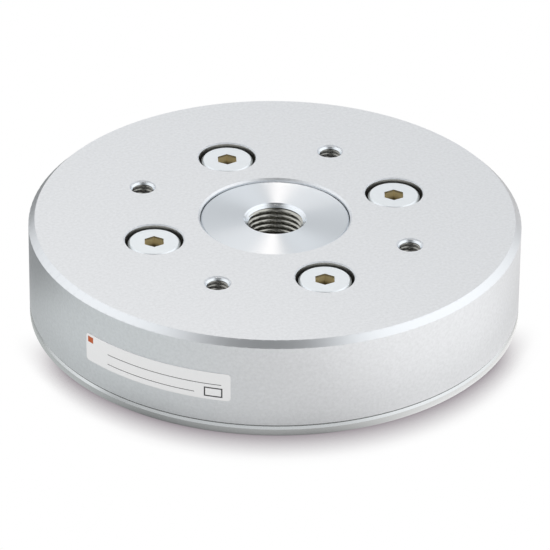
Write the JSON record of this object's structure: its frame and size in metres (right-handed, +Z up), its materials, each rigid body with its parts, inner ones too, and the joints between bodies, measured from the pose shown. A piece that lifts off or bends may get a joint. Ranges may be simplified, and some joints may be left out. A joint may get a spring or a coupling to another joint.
{
  "type": "non-contact cyclone gripper",
  "caption": "Flat round gripper head: air from a threaded port on top swirls in a shallow cup underneath and holds a flat workpiece without touching it.",
  "frame": {"origin": "centre of the suction face underneath", "axes": "+Z up along the gripper's axis, out of the air port and the mounting face; +X through the first body screw"},
  "size_m": [0.08, 0.08, 0.017],
  "materials": {
    "body_anodised": "bead blasted and clear anodised",
    "bush_turned": "fine turned, clear anodised",
    "plate_turned": "fine turned, clear anodised",
    "screw_steel": "bright plated steel",
    "seal_rubber": "moulded nitrile rubber",
    "label_film": "silver polyester film"
  },
  "bodies": {
    "root": {"upper_body": "body_anodised", "port_bush": "bush_turned", "swirl_plate": "plate_turned", "body_screw_1": "screw_steel", "body_screw_2": "screw_steel", "body_screw_3": "screw_steel", "body_screw_4": "screw_steel", "rim_o_ring": "seal_rubber", "port_o_ring": "seal_rubber", "screw_o_ring_1": "seal_rubber", "screw_o_ring_2": "seal_rubber", "screw_o_ring_3": "seal_rubber", "screw_o_ring_4": "seal_rubber", "label": "label_film"}
  },
  "joints": []
}
